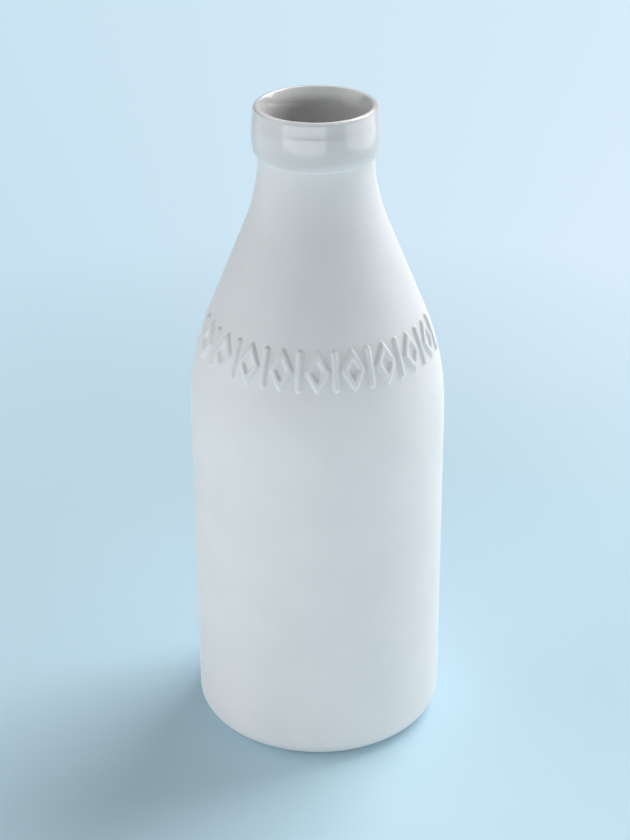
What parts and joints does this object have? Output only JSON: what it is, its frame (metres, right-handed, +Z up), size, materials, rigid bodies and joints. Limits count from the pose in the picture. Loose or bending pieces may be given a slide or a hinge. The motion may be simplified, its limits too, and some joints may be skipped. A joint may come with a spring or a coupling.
{
  "type": "ceramic milk bottle",
  "caption": "Cast ceramic milk bottle: straight round body, long shoulder and neck, beaded collar and flared mouth; bare biscuit outside, glazed inside, with a raised frieze on its front.",
  "frame": {"origin": "middle of the foot, on the surface the bottle stands on", "axes": "+Z up along the bottle's own axis, -Y towards the front with the frieze, +X to the right seen from the front"},
  "size_m": [0.078, 0.078, 0.2024],
  "materials": {
    "biscuit": "bare white biscuit porcelain, smooth and matt",
    "glaze": "clear gloss glaze over white porcelain"
  },
  "bodies": {
    "root": {"bottle_body": "biscuit", "shoulder_relief": "biscuit", "collar_glaze": "glaze", "interior_glaze": "glaze"}
  },
  "joints": []
}
